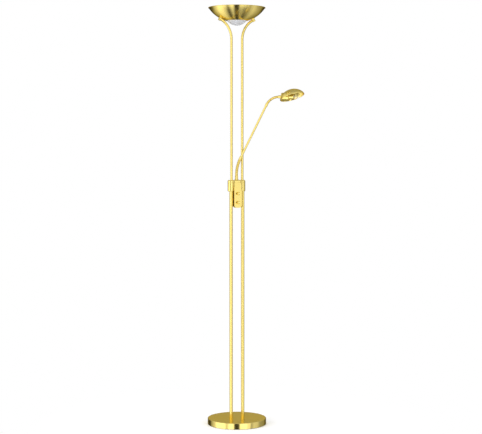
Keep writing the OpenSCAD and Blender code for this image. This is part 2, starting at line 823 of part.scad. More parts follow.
module barrel_cap() {
    r = barrel_d / 2 - barrel_wall - seat_fit;
    s = snout_d / 2;
    color(brass) on_head() rotate_extrude($fn = 96) polygon([
        [cap_lead_r, barrel_end - 1 - cap_plate_t], [r, barrel_end - 1 - cap_plate_t], [r, barrel_end],
        [s, barrel_end], [s, snout_end - 1], [s - 1, snout_end], [s - snout_wall, snout_end],
        [s - snout_wall, barrel_end - 1], [cap_lead_r, barrel_end - 1]]);
}

module bulb_socket() {
    color(ceramic) on_head() {
        difference() {
            post(snout_d - 2 * snout_wall - 2 * seat_fit, barrel_end - 1, barrel_end + socket_len);
            post(bulb_base_d + 2 * gap, barrel_end + socket_len - socket_depth, snout_end + weld);
        }
    }
}

module capsule_bulb() {
    r = bulb_d / 2;
    root = barrel_end + socket_len - socket_depth + gap;
    tip = snout_end + bulb_len;
    e = bulb_edge_r;
    color(glass_tint, 0.5) on_head() rotate_extrude() polygon(concat(
        [[0, root], [bulb_base_d / 2, root], [bulb_base_d / 2, snout_end - 1]],
        arc([r - e, snout_end + e], e, -90, 0, 4),
        arc([0, tip - r], r, 0, 90, 8)));
}

// The shade is a spun dome. Its rim is centred beside the snout, this far past the barrel and below
// the barrel's axis, and tilts up at the far end.
shade_past = 12.9;
shade_drop = 1.4;
shade_mid = [barrel_end + shade_past, -shade_drop];
shade_steps = 18;
// The lower this power, the squarer the dome's shoulders. At 0.5 the dome is half an ellipse.
shade_power = 0.65;
function shade_height(u, r, h) = h * pow(max(0, 1 - pow(u / r, 2)), shade_power);
function shade_side(r, h) = [
    for (i = [0 : shade_steps]) let (u = r * cos(90 * i / shade_steps)) [u, shade_height(u, r, h)]];
rim_bead = 1.2;
notch_back = 2;
ferrule_room = 2;
band_t = 1.6;
band_w = 8;
boss_d = 7;
shade_screw_d = 3;
shade_screw_head_d = 6;
shade_screw_head_t = 1.4;
// The shade's screw stands square to the dome, this far from the dome's axis. Its line meets the
// barrel's upper side in the middle of the band.
screw_out = 15;
screw_rise = shade_height(screw_out, shade_d / 2, shade_h);
screw_lean = atan(2 * shade_power * screw_out * screw_rise / (pow(shade_d / 2, 2) - pow(screw_out, 2)));
screw_pt = shade_mid + rotate_2d([-screw_out, screw_rise], shade_tilt);
band_mid = screw_pt[0] + (screw_pt[1] - barrel_d / 2) * tan(screw_lean + shade_tilt);
boss_len = (screw_pt[1] - barrel_d / 2) / cos(screw_lean + shade_tilt);
function rotate_2d(p, a) = [p[0] * cos(a) - p[1] * sin(a), p[0] * sin(a) + p[1] * cos(a)];

// Places a piece in the shade's frame: its own Z is the axis of the dome
module on_shade() {
    on_head() translate([-shade_mid[1], 0, shade_mid[0]]) rotate([0, -90 - shade_tilt, 0]) children();
}

module shade_form(margin) {
    rotate_extrude($fn = 128) polygon(concat(
        shade_side(shade_d / 2 - margin, shade_h - margin), [[0, 0]]));
}

module head_shade() {
    r = shade_d / 2;
    color(brass) difference() {
        on_shade() difference() {
            union() {
                shade_form(0);
                rotate_extrude($fn = 128) translate([r - rim_bead, 0]) circle(r = rim_bead, $fn = 24);
            }
            shade_form(shade_wall);
            post(2 * (r - 2 * rim_bead), -2 * rim_bead, 0.01);
        }
        // The barrel enters through a round notch in the dome's back, with room for the ferrule behind it
        on_head() post(barrel_d + 2 * gap, barrel_x - notch_back, barrel_end + 1);
        on_head() post(ferrule_d + 2 * ferrule_room, 0, barrel_x);
        at_screw() post(shade_screw_d + 2 * seat_fit, -shade_wall - 1, 1);
    }
}

// Places a piece where the shade's screw is: +Z points out of the dome
module at_screw() {
    on_shade() translate([-screw_out, 0, screw_rise]) rotate([0, -screw_lean, 0]) children();
}

module shade_band() {
    inner = barrel_d + 2 * seat_fit;
    color(steel) difference() {
        union() {
            on_head() post(inner + 2 * band_t, band_mid - band_w / 2, band_mid + band_w / 2);
            at_screw() post(boss_d, -boss_len - band_t, -shade_wall - gap);
        }
        on_head() post(inner, band_mid - 2 * band_w, band_mid + 2 * band_w);
        at_screw() post(shade_screw_d + 2 * seat_fit, -boss_len - band_t, 0);
    }
}

module shade_screw() {
    color(brass) at_screw() {
        post(shade_screw_d, -boss_len + band_t, weld);
        post(shade_screw_head_d, gap / 2, shade_screw_head_t);
    }
}

// Bowl

// Places a piece at a stud's root: +Z goes into the bowl, and +X up along the bowl's side
module at_stud(side) {
    mirror([side < 0 ? 1 : 0, 0, 0]) translate([stud_root[0], 0, stud_root[1]])
        rotate([0, -stud_lean, 0]) children();
}

nipple_bore = 4;
nipple_d = 8;
nipple_in = 1.2;
nipple_nut_across = 13;
nipple_nut_t = 5;
stud_edge_r = 1.2;
// Tabs of the lamp bracket: their height over the bowl's outer side, and their reach from the nipples
tab_low = bowl_wall + 0.8;
tab_t = 1.5;
tab_w = 16;
tab_inner = -9.5;
tab_outer = 9;

module bowl_studs() {
    color(brass) for (side = sides) at_stud(side) difference() {
        rotate_extrude() polygon(concat(
            [[0, 0], [stud_d / 2, 0]],
            arc([stud_d / 2 - stud_edge_r, -stud_len + stud_edge_r], stud_edge_r, 0, -90, 5),
            [[0, -stud_len]]));
        // Cross hole for the pole's end, and the thread for the nipple
        translate([0, 0, -stud_reach]) rotate([0, -90, 0])
            translate([0, 0, -seat_fit]) cylinder(d = upper_pole_d + 2 * seat_fit, h = stud_d);
        translate([0, 0, -stud_reach]) post(nipple_d + 2 * seat_fit, 0, stud_reach + weld);
    }
}

module stud_nipples() {
    color(steel) for (side = sides) at_stud(side)
        pipe(nipple_d, nipple_bore, -nipple_in, tab_low + tab_t + nipple_nut_t + 2);
}

module nipple_nuts() {
    color(steel) for (side = sides) at_stud(side)
        hex_nut(nipple_nut_across, nipple_d + 2 * seat_fit, tab_low + tab_t, tab_low + tab_t + nipple_nut_t);
}

module bowl() {
    inner_r = bowl_curve_r - bowl_wall;
    side_pts = concat(arc(bowl_centre, bowl_curve_r, open_angle, rim_angle, 24),
        arc(bowl_centre, inner_r, rim_angle, open_angle, 24));
    color(brass) difference() {
        rotate_extrude($fn = 128) {
            polygon(side_pts);
            translate(rim_pt) circle(r = bead_r, $fn = 24);
            translate([dish_hole_r, open_pt[1]]) square([lip_w - hair, bowl_wall]);
        }
        for (side = sides) at_stud(side) post(nipple_d + 2 * gap, -weld, 2 * bowl_wall);
    }
}

// Keeps what stands in the bowl a gap clear of its side, at any size of the bowl
module room_in_bowl() {
    room_r = bowl_curve_r - bowl_wall - gap;
    rotate_extrude($fn = 96) polygon(concat(
        [[0, open_pt[1] + bowl_wall]],
        arc(bowl_centre, room_r, open_angle, rim_angle, 16),
        [[0, rim_pt[1]]]));
}

// The glass dish hangs through the bowl's lower opening, on its flange
lip_w = 3.5;
dish_hole_r = bowl_open_d / 2 - lip_w;
dish_r_at_lip = dish_hole_r - 2 * gap;
dish_depth = dish_drop + bowl_wall;
dish_curve_r = (pow(dish_r_at_lip, 2) + pow(dish_depth, 2)) / (2 * dish_depth);
dish_bottom = open_pt[1] - dish_drop;
flange_r = bowl_open_d / 2 - 1;

module glass_dish() {
    c = [0, dish_bottom + dish_curve_r];
    lip_top = open_pt[1] + bowl_wall;
    edge_angle = -acos(dish_r_at_lip / dish_curve_r);
    inner_angle = -acos((dish_r_at_lip - dish_t) / (dish_curve_r - dish_t));
    color(glass_tint, 0.6) rotate_extrude($fn = 96) polygon(concat(
        arc(c, dish_curve_r, -90, edge_angle, 16),
        [[flange_r, lip_top], [flange_r, lip_top + dish_t]],
        arc(c, dish_curve_r - dish_t, inner_angle, -90, 16)));
}

// The long strip of the lamp bracket meets its tabs at their inner ends
strip_z = stud_root[1] + tab_inner * wall_dir[1] + tab_low * wall_dir[0] + gap;
strip_half = stud_root[0] + tab_inner * wall_dir[0] - tab_low * wall_dir[1] + gap;
// Height of the tube over the strip, and the step from the tube down to its ceramic ends
tube_rise = 15;
tube_end_step = 1.5;
tube_z = strip_z + tab_t + tube_rise;
// The tube's ends reach this far into the holders, which are holder_len long
tube_grip = 4;
tube_end_len = 10;
holder_len = 14;
holder_w = 16;
holder_cheek = 8;
holder_in = tube_len / 2 - tube_grip;
holder_out = holder_in + holder_len;
tube_end_d = tube_d - 2 * tube_end_step;

// A cross of strips: the long one ends in tabs on the nipples, and the short one carries the holders
module lamp_bracket() {
    color(steel) {
        translate([-strip_half, -tab_w / 2, strip_z]) cube([2 * strip_half, tab_w, tab_t]);
        intersection() {
            translate([-tab_w / 2, -holder_out, strip_z]) cube([tab_w, 2 * holder_out, tab_t]);
            room_in_bowl();
        }
        for (side = sides) at_stud(side) difference() {
            translate([tab_inner - weld, -tab_w / 2, tab_low])
                cube([tab_outer - tab_inner + weld, tab_w, tab_t]);
            post(nipple_d + 2 * seat_fit, tab_low - weld, tab_low + tab_t + weld);
        }
    }
}

module lamp_holders() {
    color(ceramic) for (side = sides) mirror([0, side < 0 ? 1 : 0, 0]) difference() {
        intersection() {
            translate([-holder_w / 2, holder_in, strip_z + tab_t])
                cube([holder_w, holder_len, tube_z - strip_z - tab_t + holder_cheek]);
            room_in_bowl();
        }
        translate([0, 0, tube_z]) pin_y(tube_end_d + 2 * gap, holder_in - weld, tube_len / 2 + gap);
    }
}

module halogen_tube() {
    color(glass_tint, 0.4) translate([0, 0, tube_z])
        pin_y(tube_d, tube_end_len - tube_len / 2, tube_len / 2 - tube_end_len);
}

module tube_ends() {
    color(ceramic) for (side = sides) mirror([0, side < 0 ? 1 : 0, 0]) translate([0, 0, tube_z])
        pin_y(tube_end_d, tube_len / 2 - tube_end_len, tube_len / 2);
}

felt_pad();
base_weight();
base_cover();
cord_grommet();
pole_studs();
pole_nuts();
pole_washers();
pole_plugs();
lower_pole_left();
lower_pole_right();
bracket_body();
bracket_cap();
cap_screws();
grub_screws();
upper_pole_left();
upper_pole_right();
dimmer_housing();
housing_back();
housing_screws();
back_screws();
dimmer_board();
potentiometers();
upper_knob();
upper_spindle();
lower_knob();
lower_spindle();
arm_foot();
arm_washer();
arm_nut();
lower_link_1();
lower_link_2();
lower_link_3();
lower_link_4();
lower_link_5();
rod_ferrule_lower();
arm_rod();
rod_ferrule_upper();
upper_link_1();
upper_link_2();
upper_link_3();
upper_link_4();
upper_link_5();
head_ferrule();
swivel_bolt();
head_barrel();
barrel_cap();
bulb_socket();
capsule_bulb();
head_shade();
shade_band();
shade_screw();
bowl_studs();
stud_nipples();
nipple_nuts();
bowl();
glass_dish();
lamp_bracket();
lamp_holders();
halogen_tube();
tube_ends();
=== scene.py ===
# %% [markdown]
# # A reading floor lamp in satin brass
# The real lamp is a heavy round foot, two slim tubes, a joint bracket with two dimmer knobs, a bowl that
# lights the ceiling, and a small reading head on a bent arm. The exact pieces come packed as a frame, so
# this lesson is about what makes them look real: the studio, the brass, the glass, and the pieces that
# are too soft or too fine for the frame.

# %% Load the frame
import json
import math

import bpy
from mathutils import Matrix, Vector


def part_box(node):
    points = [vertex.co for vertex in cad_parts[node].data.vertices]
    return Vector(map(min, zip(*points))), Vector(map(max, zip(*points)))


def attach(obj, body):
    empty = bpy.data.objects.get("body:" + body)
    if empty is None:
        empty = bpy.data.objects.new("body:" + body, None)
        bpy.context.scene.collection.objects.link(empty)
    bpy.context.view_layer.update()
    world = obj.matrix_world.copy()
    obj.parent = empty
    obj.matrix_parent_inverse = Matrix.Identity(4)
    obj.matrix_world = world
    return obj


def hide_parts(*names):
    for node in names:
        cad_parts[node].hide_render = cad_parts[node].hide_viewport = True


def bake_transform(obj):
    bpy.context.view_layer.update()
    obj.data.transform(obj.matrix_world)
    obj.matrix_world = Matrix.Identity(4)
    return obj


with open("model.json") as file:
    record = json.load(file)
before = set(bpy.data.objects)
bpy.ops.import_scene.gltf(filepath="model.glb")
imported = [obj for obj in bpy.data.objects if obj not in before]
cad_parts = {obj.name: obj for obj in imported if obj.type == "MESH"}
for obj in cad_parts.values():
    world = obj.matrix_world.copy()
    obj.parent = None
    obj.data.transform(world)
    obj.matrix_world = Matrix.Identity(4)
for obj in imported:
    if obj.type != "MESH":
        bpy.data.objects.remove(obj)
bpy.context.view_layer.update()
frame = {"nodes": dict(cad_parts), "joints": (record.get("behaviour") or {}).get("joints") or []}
nodes = frame["nodes"]
MM = 0.001
WELD = 0.001 * MM

# %% [markdown]
# ## Small helpers
# Colours are picked as on a screen, in hex, and Blender wants them linear, so one function turns them.
# Another adds a node, sets what it is given and links every output that it is handed.

# %% Colour and node helpers
def linear(hex_colour):
    """Turns an sRGB hex colour into the linear RGBA that a socket takes."""
    channels = [int(hex_colour[i:i + 2], 16) / 255 for i in (1, 3, 5)]
    return [c / 12.92 if c <= 0.04045 else ((c + 0.055) / 1.055) ** 2.4 for c in channels] + [1.0]


def add_node(tree, kind, sockets=None, **settings):
    """Adds a node. Settings go on the node itself, and sockets get a value or a link, by name or number."""
    node = tree.nodes.new(kind)
    for name, value in settings.items():
        setattr(node, name, value)
    for name, value in (sockets or {}).items():
        if isinstance(value, bpy.types.NodeSocket):
            tree.links.new(value, node.inputs[name])
        else:
            node.inputs[name].default_value = value
    return node


def new_material(name):
    """An empty material with its own node tree and an output node."""
    material = bpy.data.materials.new(name)
    material.use_nodes = True
    tree = material.node_tree
    tree.nodes.clear()
    return material, tree, add_node(tree, "ShaderNodeOutputMaterial")


def deselect():
    """Leaves nothing selected, because an operator acts on all that is."""
    if bpy.context.object and bpy.context.object.mode != "OBJECT":
        bpy.ops.object.mode_set(mode="OBJECT")
    bpy.ops.object.select_all(action="DESELECT")


# %% [markdown]
# ## The camera
# The lamp was seen from its front left, a little over a metre above the floor and nearly six metres
# away. A long lens keeps the two poles almost parallel, and the camera looks down by a few degrees.

# %% Camera
CAMERA_TURN = math.radians(24)
CAMERA_AWAY = 5.665
CAMERA_HEIGHT = 1.2
CAMERA_ASIDE = 0.0178
CAMERA_DOWN = math.radians(3.02)
LENS = 98.05

toward_lamp = Vector((math.sin(CAMERA_TURN), math.cos(CAMERA_TURN), 0))
to_the_right = Vector((math.cos(CAMERA_TURN), -math.sin(CAMERA_TURN), 0))
camera_place = Vector((0, 0, CAMERA_HEIGHT)) + CAMERA_ASIDE * to_the_right - CAMERA_AWAY * toward_lamp
deselect()
bpy.ops.object.camera_add(location=camera_place, rotation=(math.pi / 2 - CAMERA_DOWN, 0, -CAMERA_TURN))
camera = bpy.context.object
camera.name = "camera"
camera.data.lens = LENS
camera.data.sensor_width = 36
camera.data.clip_end = 100
bpy.context.scene.camera = camera
print("camera at", [round(c, 3) for c in camera.location])

# %% [markdown]
# ## The studio
# Satin metal shows its surroundings, so the studio is part of its look. The world is white where it is
# seen, and softer for the light that it sheds. The paper floor keeps the shadow close to the lamp, and
# turns to plain white further out, as an overexposed paper sweep does. The metal gets surroundings of
# its own further down.

# %% World
WHITE = linear("#ffffff")
SKY_LIGHT = 0.72


def seen_directly(tree):
    """Is 1 for rays from the camera or through glass, and 0 for the light that falls on things."""
    rays = add_node(tree, "ShaderNodeLightPath")
    either = add_node(tree, "ShaderNodeMath", {
        0: rays.outputs["Is Camera Ray"], 1: rays.outputs["Is Transmission Ray"]}, operation="MAXIMUM")
    return either.outputs[0]


world = bpy.data.worlds.new("studio")
bpy.context.scene.world = world
world.use_nodes = True
sky = world.node_tree
sky.nodes.clear()
shed = add_node(sky, "ShaderNodeBackground", {"Color": WHITE, "Strength": SKY_LIGHT})
shown = add_node(sky, "ShaderNodeBackground", {"Color": WHITE, "Strength": 1.0})
mixed = add_node(sky, "ShaderNodeMixShader", {
    0: seen_directly(sky), 1: shed.outputs[0], 2: shown.outputs[0]})
add_node(sky, "ShaderNodeOutputWorld", {0: mixed.outputs[0]})
bpy.context.scene.view_settings.view_transform = "Standard"


# %% Floor
FLOOR_SIZE = 60
PAPER_FIBRE = 2.5 * MM
PAPER_SHADE_R = 0.25
PAPER_WHITE_R = 0.9

deselect()
bpy.ops.mesh.primitive_plane_add(size=FLOOR_SIZE)
floor = bpy.context.object
floor.name = "floor"
paper, tree, out = new_material("white_studio_paper")
place = add_node(tree, "ShaderNodeTexCoord").outputs["Object"]
fibre = add_node(tree, "ShaderNodeTexNoise", {"Vector": place, "Scale": 1 / PAPER_FIBRE, "Detail": 3.0})
shade = add_node(tree, "ShaderNodeValToRGB", {0: fibre.outputs["Fac"]})
shade.color_ramp.elements[0].color = linear("#fafafa")
shade.color_ramp.elements[1].color = WHITE
matte = add_node(tree, "ShaderNodeBsdfDiffuse", {"Color": shade.outputs[0]})
glowing = add_node(tree, "ShaderNodeEmission", {"Color": WHITE, "Strength": 1.0})
away = add_node(tree, "ShaderNodeVectorMath", {0: place}, operation="LENGTH")
further = add_node(tree, "ShaderNodeMapRange", {
    0: away.outputs["Value"], 1: PAPER_SHADE_R, 2: PAPER_WHITE_R}, interpolation_type="SMOOTHSTEP")
share = add_node(tree, "ShaderNodeMath", {
    0: seen_directly(tree), 1: further.outputs[0]}, operation="MULTIPLY")
sweep = add_node(tree, "ShaderNodeMixShader", {
    0: share.outputs[0], 1: matte.outputs[0], 2: glowing.outputs[0]})
tree.links.new(sweep.outputs[0], out.inputs[0])
floor.data.materials.append(paper)

# %% [markdown]
# ## Lamps
# Two soft boxes and a top box light what is matt: the glass, the felt and the paper. Metal doesn't see
# them, because it gets reflections of its own in the next step.

# %% Soft boxes
def aim(obj, place, target):
    """Puts an object somewhere and turns it so that its -Z axis points at the target."""
    obj.location = place
    obj.rotation_euler = (Vector(target) - Vector(place)).to_track_quat("-Z", "Y").to_euler()


def around(turn_deg, away, height):
    """A place round the lamp: the turn is counted from the camera's direction, to the right."""
    turn = CAMERA_TURN - math.radians(turn_deg)
    return Vector((-math.sin(turn) * away, -math.cos(turn) * away, height))


def soft_box(name, place, target, width, height, power):
    """A rectangular area light that faces a target, unseen by the metal."""
    deselect()
    bpy.ops.object.light_add(type="AREA")
    light = bpy.context.object
    light.name = name
    light.data.shape = "RECTANGLE"
    light.data.size = width
    light.data.size_y = height
    light.data.energy = power
    light.visible_glossy = False
    aim(light, place, target)


LAMP_MIDDLE = (0, 0, 1)
soft_box("left_box", around(-55, 3.2, 1.2), LAMP_MIDDLE, width=2.2, height=2.4, power=45)
soft_box("right_box", around(50, 3.4, 1.3), LAMP_MIDDLE, width=1.8, height=2.4, power=25)
soft_box("top_box", (0, 0, 3.6), (0, 0, 0), width=2.5, height=2.5, power=35)

# %% [markdown]
# ## A painted tent for the metal
# Brass has little to show beside what it reflects. In an all-white room it looks flat, so a photographer
# hangs bright and dark cloths round it, and their edges draw the form. Here the cloths are one far sphere
# that only reflections see. Its paint follows a simple question: which slope of metal would mirror this
# direction to the camera at rest? The slope's turn to the right picks a tone from a ramp, and its tilt
# picks the ramp: one for upright walls, one for what faces down, and one for what leans back. What is
# nearly level gets even tones: a darker belt for rounded edges, then one tone for level tops. The tone of
# what faces straight down is dimmed. The floor is left out of reflections, so that the tent goes on below.

# %% Tones of the tent
TENT_RADIUS = 25.0
TENT_MIDDLE = 0.9
GLOW = 1.75
UP = Vector((0, 0, 1))

# Each ramp has stops of (turn in degrees, tone). Each change of tone lies between two tilts.
WALL_TONES = [
    (-90, 0.04), (-62, 0.05), (-58, 0.4), (-47, 0.85), (-42, 1.6), (-24, 1.6), (-20, 0.7), (-14, 1.7),
    (-7, 1.7), (-4.5, 0.04), (4, 0.04), (7, 1.6), (19, 1.6), (21, 1.1), (26, 1.1), (29, 0.36), (34, 0.78),
    (43, 0.72), (50, 0.36), (64, 0.3), (72, 0.06)]
UNDER_TONES = [
    (-80, 0.3), (-66, 0.5), (-54, 0.85), (-46, 1.3), (-36, 1.2), (-27, 0.65), (-21, 0.08), (-17, 0.08),
    (-10, 0.85), (-7, 0.5), (-3.5, 0.04), (2.5, 0.04), (7, 0.45), (13, 0.42), (18, 0.18), (23, 0.2),
    (31, 0.5), (42, 0.82), (56, 0.5), (72, 0.3)]
OVER_TONES = [(-80, 0.4), (-50, 0.8), (-20, 0.62), (5, 0.68), (30, 0.78), (60, 0.55), (80, 0.35)]
UNDER_TILTS = (-0.46, -0.58)
OVER_TILTS = (0.12, 0.3)
BELT_TONE, BELT_TILTS = 0.4, (0.6, 0.7)
LEVEL_TONE, LEVEL_TILTS = 0.5, (0.84, 0.94)
NADIR_SHARE, NADIR_TILTS = 0.5, (-0.62, -0.95)


def grey(tone):
    """A tone as the share of the tent's glow that a colour socket takes."""
    return [tone / GLOW] * 3 + [1]


def tone_ramp(tree, turn, tones):
    """A ramp from the slope's turn, in degrees, to a grey tone."""
    ramp = add_node(tree, "ShaderNodeValToRGB", {0: turn})
    stops = ramp.color_ramp.elements
    stops.remove(stops[1])
    for k, (degrees, tone) in enumerate(tones):
        stop = stops.new(degrees / 180 + 0.5) if k else stops[0]
        stop.position = degrees / 180 + 0.5
        stop.color = grey(tone)
    return ramp.outputs[0]


def change_between(tree, tilt, tilts, tone, next_tone):
    """Goes from one tone to the next as the tilt passes from the first of two tilts to the second."""
    share = add_node(tree, "ShaderNodeMapRange", {0: tilt, 1: tilts[0], 2: tilts[1]})
    mix = add_node(tree, "ShaderNodeMix", {0: share.outputs[0], 6: tone, 7: next_tone}, data_type="RGBA")
    return mix.outputs[2]


# %% The tent
deselect()
bpy.ops.mesh.primitive_ico_sphere_add(subdivisions=3, radius=TENT_RADIUS, location=(0, 0, TENT_MIDDLE))
tent = bpy.context.object
tent.name = "studio_tent"
cloth, tree, out = new_material("tent_cloth")
place = add_node(tree, "ShaderNodeTexCoord").outputs["Object"]
toward = add_node(tree, "ShaderNodeVectorMath", {0: place}, operation="NORMALIZE").outputs[0]
across, beyond, upward = [
    add_node(tree, "ShaderNodeVectorMath", {0: toward, 1: side}, operation="DOT_PRODUCT").outputs["Value"]
    for side in (to_the_right, toward_lamp, UP)]
facing = add_node(tree, "ShaderNodeMath", {0: 1.0, 1: beyond}, operation="SUBTRACT").outputs[0]
slope = add_node(tree, "ShaderNodeCombineXYZ", {0: across, 1: facing, 2: upward})
steep = add_node(tree, "ShaderNodeVectorMath", {0: slope.outputs[0]}, operation="LENGTH")
tilt = add_node(tree, "ShaderNodeMath", {0: upward, 1: steep.outputs["Value"]}, operation="DIVIDE").outputs[0]
angle = add_node(tree, "ShaderNodeMath", {0: across, 1: facing}, operation="ARCTAN2")
turn = add_node(tree, "ShaderNodeMapRange", {0: angle.outputs[0], 1: -math.pi / 2, 2: math.pi / 2}).outputs[0]
tone = tone_ramp(tree, turn, WALL_TONES)
tone = change_between(tree, tilt, UNDER_TILTS, tone, tone_ramp(tree, turn, UNDER_TONES))
tone = change_between(tree, tilt, OVER_TILTS, tone, tone_ramp(tree, turn, OVER_TONES))
dimming = add_node(tree, "ShaderNodeMapRange", {
    0: tilt, 1: NADIR_TILTS[0], 2: NADIR_TILTS[1], 3: 1.0, 4: NADIR_SHARE})
dimmed = add_node(tree, "ShaderNodeVectorMath", {0: tone, "Scale": dimming.outputs[0]}, operation="SCALE")
tone = change_between(tree, tilt, BELT_TILTS, dimmed.outputs[0], grey(BELT_TONE))
tone = change_between(tree, tilt, LEVEL_TILTS, tone, grey(LEVEL_TONE))
glow = add_node(tree, "ShaderNodeEmission", {"Color": tone, "Strength": GLOW})
tree.links.new(glow.outputs[0], out.inputs[0])
tent.data.materials.append(cloth)
for ray in ("camera", "diffuse", "transmission", "volume_scatter", "shadow"):
    setattr(tent, "visible_" + ray, False)
floor.visible_glossy = False
print("tent", len(WALL_TONES) + len(UNDER_TONES) + len(OVER_TONES), "tones")


# %% [markdown]
# ## Satin brass
# Brass of about two thirds copper and one third zinc, spun or turned, brushed to a satin and lacquered.
# Spinning leaves fine rings round the axis. A lamp's reflection is drawn out across the rings, so the
# shader is anisotropic, and its tangent is the ring's own direction at each point of the surface.

# %% Brass colours and the spun finish
BRASS_LIGHT = "#fbe68e"
BRASS_MID = "#f6df80"
BRASS_WARM = "#efd070"
BRASS_EDGE = "#f4de96"
LACQUER_CLOUD = 60 * MM
SATIN = 0.2
SPUN_RING = 0.7 * MM
FINISH_TINT = 0.2


def brass_colour(tree, place, finish):
    """Brass with slow changes of tone from the lacquer, and a faint change with its finish."""
    cloud = add_node(tree, "ShaderNodeTexNoise", {"Vector": place, "Scale": 1 / LACQUER_CLOUD, "Detail": 2.0})
    tone = add_node(tree, "ShaderNodeMix", {
        0: cloud.outputs["Fac"], 6: linear(BRASS_MID), 7: linear(BRASS_LIGHT)}, data_type="RGBA")
    weight = add_node(tree, "ShaderNodeMath", {0: finish, 1: FINISH_TINT}, operation="MULTIPLY")
    return add_node(tree, "ShaderNodeMix", {
        0: weight.outputs[0], 6: tone.outputs[2], 7: linear(BRASS_WARM)}, data_type="RGBA").outputs[2]


def brass(tree, out, place, finish, roughness, swing, strength, depth, brushing=None):
    """Lacquered brass whose finish, one noise, moves its colour, its roughness and its relief."""
    rough = add_node(tree, "ShaderNodeMapRange", {0: finish, 3: roughness - swing, 4: roughness + swing})
    bump = add_node(tree, "ShaderNodeBump", {"Strength": strength, "Distance": depth, "Height": finish})
    shader = add_node(tree, "ShaderNodeBsdfPrincipled", {
        "Base Color": brass_colour(tree, place, finish), "Metallic": 1.0, "Roughness": rough.outputs[0],
        "Normal": bump.outputs[0], "Specular Tint": linear(BRASS_EDGE), "Coat Weight": 0.06,
        "Coat Roughness": 0.2, **(brushing or {})})
    tree.links.new(shader.outputs[0], out.inputs[0])


def spun_brass(name, centre, axis, anisotropy=0.9):
    """Brass spun round an axis. The rings are really finer, and are drawn just wide enough to show."""
    material, tree, out = new_material(name)
    place = add_node(tree, "ShaderNodeTexCoord").outputs["Object"]
    arm = add_node(tree, "ShaderNodeVectorMath", {0: place, 1: centre}, operation="SUBTRACT").outputs[0]
    along = add_node(tree, "ShaderNodeVectorMath", {0: arm, 1: axis}, operation="DOT_PRODUCT")
    round_it = add_node(tree, "ShaderNodeVectorMath", {0: axis, 1: arm}, operation="CROSS_PRODUCT").outputs[0]
    radius = add_node(tree, "ShaderNodeVectorMath", {0: round_it}, operation="LENGTH")
    ring_place = add_node(tree, "ShaderNodeCombineXYZ", {
        0: radius.outputs["Value"], 1: along.outputs["Value"]})
    rings = add_node(tree, "ShaderNodeTexNoise", {
        "Vector": ring_place.outputs[0], "Scale": 1 / SPUN_RING, "Detail": 3.0})
    tangent = add_node(tree, "ShaderNodeVectorTransform", {0: round_it},
                       vector_type="VECTOR", convert_from="OBJECT", convert_to="WORLD")
    brass(tree, out, place, rings.outputs["Fac"], SATIN, swing=0.04, strength=0.25, depth=0.02 * MM,
          brushing={"Anisotropic": anisotropy, "Anisotropic Rotation": 0.25, "Tangent": tangent.outputs[0]})
    return material


# %% [markdown]
# Tubes and cast pieces are brushed all over with a fine belt or wheel. Their scratches are short and
# have no common centre, so a plain satin with a fine stretched grain is enough.

# %% Brushed brass
def brushed_brass(name, stretch=(1, 1, 60), grain=0.5 * MM, roughness=SATIN):
    """Brass brushed along one direction. A grain is stretched that many times along X, Y and Z."""
    material, tree, out = new_material(name)
    place = add_node(tree, "ShaderNodeTexCoord").outputs["Object"]
    mapped = add_node(tree, "ShaderNodeMapping", {
        "Vector": place, "Scale": [1 / (grain * s) for s in stretch]})
    scratches = add_node(tree, "ShaderNodeTexNoise", {
        "Vector": mapped.outputs[0], "Scale": 1.0, "Detail": 4.0})
    brass(tree, out, place, scratches.outputs["Fac"], roughness, swing=0.02, strength=0.1,
          depth=0.002 * MM)
    return material


# %% [markdown]
# ## The other materials
# Zinc-plated steel is bluish and slightly blotchy. Cast iron is dark and pitted. Felt is a mat of short
# fibres with a soft sheen. Ceramic, rubber, moulded plastic and a lacquered board do their work inside.

# %% A plain surface with a grain
def uneven(tree, low, high, grain, depth, detail=4.0, fineness=0.6, strength=0.6):
    """A colour and a relief that follow one noise, with grains of a real size."""
    place = add_node(tree, "ShaderNodeTexCoord").outputs["Object"]
    noise = add_node(tree, "ShaderNodeTexNoise", {
        "Vector": place, "Scale": 1 / grain, "Detail": detail, "Roughness": fineness}).outputs["Fac"]
    colour = add_node(tree, "ShaderNodeMix", {0: noise, 6: linear(low), 7: linear(high)}, data_type="RGBA")
    bump = add_node(tree, "ShaderNodeBump", {"Strength": strength, "Distance": depth, "Height": noise})
    return {"Base Color": colour.outputs[2], "Normal": bump.outputs[0]}


def grained(name, low, high, grain, roughness, depth, metallic=0.0, sheen=0.0, coat=0.0):
    """A surface with a visible grain, such as a casting, a mat of fibres or a moulding."""
    material, tree, out = new_material(name)
    shader = add_node(tree, "ShaderNodeBsdfPrincipled", {
        **uneven(tree, low, high, grain, depth), "Metallic": metallic, "Roughness": roughness,
        "Sheen Weight": sheen, "Sheen Roughness": 0.5, "Coat Weight": coat, "Coat Roughness": 0.1})
    tree.links.new(shader.outputs[0], out.inputs[0])
    return material


tungsten = grained("tungsten_wire", "#5d5d60", "#88888c", 0.5 * MM, 0.4, 0.01 * MM, metallic=1.0)
zinc_steel = grained("zinc_plated_steel", "#9fa4a9", "#c3c7ca", 4 * MM, 0.34, 0.01 * MM, metallic=1.0)
cast_iron = grained("cast_iron", "#2c2b2a", "#4b4845", 0.8 * MM, 0.62, 0.12 * MM, metallic=0.4)
felt = grained("grey_wool_felt", "#26272a", "#4a4b4f", 0.35 * MM, 0.95, 0.2 * MM, sheen=0.6)
rubber = grained("moulded_rubber", "#131313", "#232323", 0.3 * MM, 0.55, 0.02 * MM)
moulded_plastic = grained("moulded_nylon", "#1d1d1f", "#303033", 0.25 * MM, 0.42, 0.015 * MM)
circuit_board = grained("lacquered_circuit_board", "#14502a", "#256f3d", 1.2 * MM, 0.3, 0.02 * MM, coat=0.4)
ceramic = grained("unglazed_steatite", "#ded9cb", "#f0ecdf", 0.4 * MM, 0.5, 0.02 * MM)


